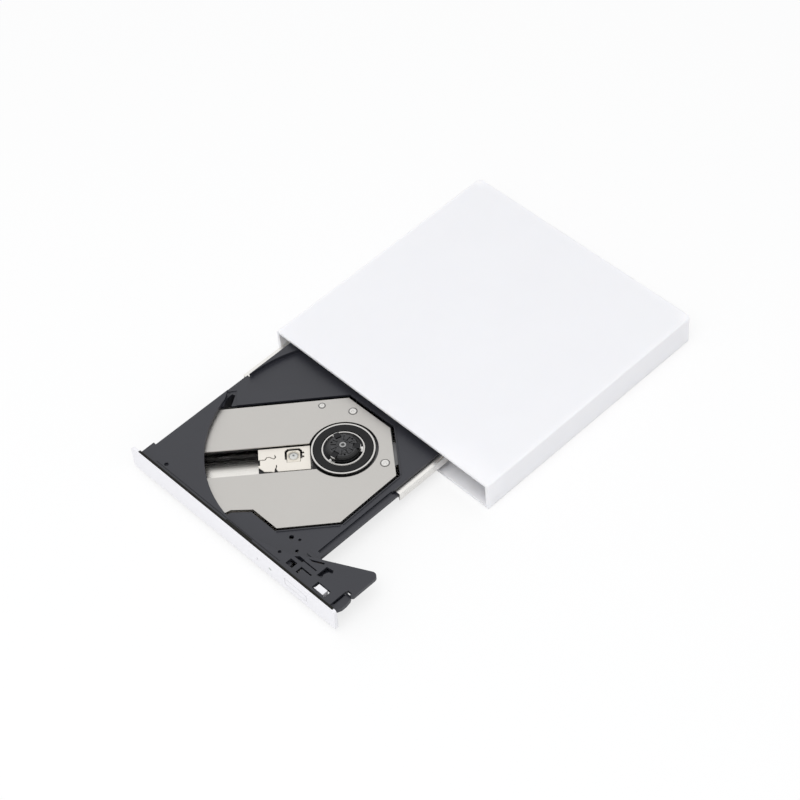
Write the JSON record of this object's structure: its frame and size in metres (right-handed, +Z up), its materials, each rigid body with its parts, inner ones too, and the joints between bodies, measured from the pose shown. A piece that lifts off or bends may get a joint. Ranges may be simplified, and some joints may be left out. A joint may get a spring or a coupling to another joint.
{
  "type": "external disc drive",
  "caption": "Slim white external optical disc drive: a flat sleeve case with its tray slid open, showing spindle, laser pickup, grey shield plate, rails and latch ear",
  "frame": {"origin": "centre of the overall box in plan at the feet's undersides, with the tray out as pictured", "axes": "+Y from the bezel to the back of the case, +X to the right as seen from the bezel, +Z up"},
  "size_m": [0.134, 0.224, 0.0163],
  "materials": {
    "white_shell": "satin white",
    "white_bezel": "satin white",
    "lamp": "clear milky",
    "foot_rubber": "matte",
    "mat_rubber": "matte",
    "tray_plastic": "fine grain",
    "black_plastic": "matte",
    "ivory_plastic": "matte",
    "ribbon": "smooth",
    "board_green": "lacquered",
    "sheet_steel": "galvanised",
    "bright_steel": "bright",
    "shield_grey": "satin warm grey",
    "copper": "wound",
    "sled_metal": "cast",
    "cover_cream": "satin cream",
    "lens_glass": "polished"
  },
  "bodies": {
    "case": {"top_cover": "white_shell", "bottom_cover": "white_shell", "rubber_feet": "foot_rubber", "case_screws": "bright_steel", "chassis_pan": "sheet_steel", "chassis_lid": "sheet_steel", "chassis_screws": "bright_steel", "left_guide": "black_plastic", "right_guide": "black_plastic", "latch_post": "bright_steel", "main_board": "board_green", "board_chips": "black_plastic", "board_screws": "bright_steel", "ribbon_socket": "ivory_plastic", "usb_socket": "bright_steel", "usb_tongue": "black_plastic", "ribbon_cable": "ribbon", "pusher_spring": "bright_steel"},
    "left_rail": {"left_rail": "sheet_steel"},
    "right_rail": {"right_rail": "sheet_steel"},
    "pusher": {"eject_pusher": "ivory_plastic"},
    "tray": {"tray": "tray_plastic", "tray_bezel": "white_bezel", "led_window": "lamp", "tray_under_plate": "sheet_steel", "tray_screws": "bright_steel", "tray_ribbon_socket": "ivory_plastic", "switch_board": "board_green", "eject_switch": "black_plastic", "solenoid": "copper", "latch_spring": "bright_steel", "shield_plate": "shield_grey", "shield_screws": "bright_steel", "traverse_frame": "sheet_steel", "dampers": "foot_rubber", "traverse_screws": "bright_steel", "spindle_motor_base": "sheet_steel", "stator": "copper", "guide_rod_main": "bright_steel", "guide_rod_sub": "bright_steel", "sled_motor": "bright_steel"},
    "button": {"eject_button": "white_bezel"},
    "latch": {"latch_lever": "sheet_steel"},
    "spindle": {"turntable": "bright_steel", "turntable_mat": "mat_rubber", "hub_cap": "tray_plastic", "spindle_shaft": "bright_steel"},
    "pawl_1": {"chuck_pawl_1": "ivory_plastic"},
    "pawl_2": {"chuck_pawl_2": "ivory_plastic"},
    "pawl_3": {"chuck_pawl_3": "ivory_plastic"},
    "pickup": {"pickup_base": "sled_metal", "pickup_cover": "cover_cream", "screw_nut": "ivory_plastic", "actuator_yoke": "sheet_steel"},
    "lens": {"lens_holder": "ivory_plastic", "objective_lens": "lens_glass"},
    "lead_screw": {"lead_screw": "bright_steel"}
  },
  "joints": [
    {"name": "tray_slide", "type": "slide", "parent": "case", "child": "tray", "axis": [0, -1, 0], "range_m": [-0.09, 0.035], "deforming": ["ribbon_cable"]},
    {"name": "left_rail_slide", "type": "slide", "parent": "case", "child": "left_rail", "axis": [0, -1, 0], "range_m": [-0.0541, 0.0211]},
    {"name": "right_rail_slide", "type": "slide", "parent": "case", "child": "right_rail", "axis": [0, -1, 0], "range_m": [-0.0541, 0.0211]},
    {"name": "pusher_slide", "type": "slide", "parent": "case", "child": "pusher", "axis": [0, 1, 0], "range_m": [-0.0028, 0.0071], "deforming": ["pusher_spring"]},
    {"name": "button_press", "type": "slide", "parent": "tray", "child": "button", "axis": [0, 1, 0], "range_m": [0, 0.0008], "stiffness_N_per_m": 400, "springref_m": -0.0005},
    {"name": "latch_turn", "type": "hinge", "parent": "tray", "child": "latch", "pos_m": [0.0462, -0.1024, 0.0065], "axis": [0, 0, 1], "range_deg": [-12, 0], "stiffness_Nm_per_rad": 0.002},
    {"name": "spindle_spin", "type": "hinge", "parent": "tray", "child": "spindle", "pos_m": [0.0025, -0.0468, 0.011], "axis": [0, 0, 1], "continuous": true},
    {"name": "pawl_1_slide", "type": "slide", "parent": "spindle", "child": "pawl_1", "axis": [0.766, 0.6428, 0], "range_m": [-0.0006, 0], "stiffness_N_per_m": 300},
    {"name": "pawl_2_slide", "type": "slide", "parent": "spindle", "child": "pawl_2", "axis": [-0.9397, 0.342, 0], "range_m": [-0.0006, 0], "stiffness_N_per_m": 300},
    {"name": "pawl_3_slide", "type": "slide", "parent": "spindle", "child": "pawl_3", "axis": [0.1736, -0.9848, 0], "range_m": [-0.0006, 0], "stiffness_N_per_m": 300},
    {"name": "pickup_slide", "type": "slide", "parent": "tray", "child": "pickup", "axis": [-0.6561, -0.7547, 0], "range_m": [0, 0.035]},
    {"name": "lens_focus", "type": "slide", "parent": "pickup", "child": "lens", "axis": [0, 0, 1], "range_m": [-0.0004, 0.0004], "stiffness_N_per_m": 40},
    {"name": "lead_screw_spin", "type": "hinge", "parent": "tray", "child": "lead_screw", "pos_m": [-0.00731, -0.03827, 0.0063], "axis": [-0.6561, -0.7547, 0], "range_deg": [0, 4210]}
  ],
  "couplings": [
    {"joint": "left_rail_slide", "follows": "tray_slide", "ratio": 0.6},
    {"joint": "right_rail_slide", "follows": "tray_slide", "ratio": 0.6},
    {"joint": "pusher_slide", "follows": "tray_slide", "ratio": -0.078},
    {"joint": "lead_screw_spin", "follows": "pickup_slide", "rad_per_m": 2094.4}
  ]
}
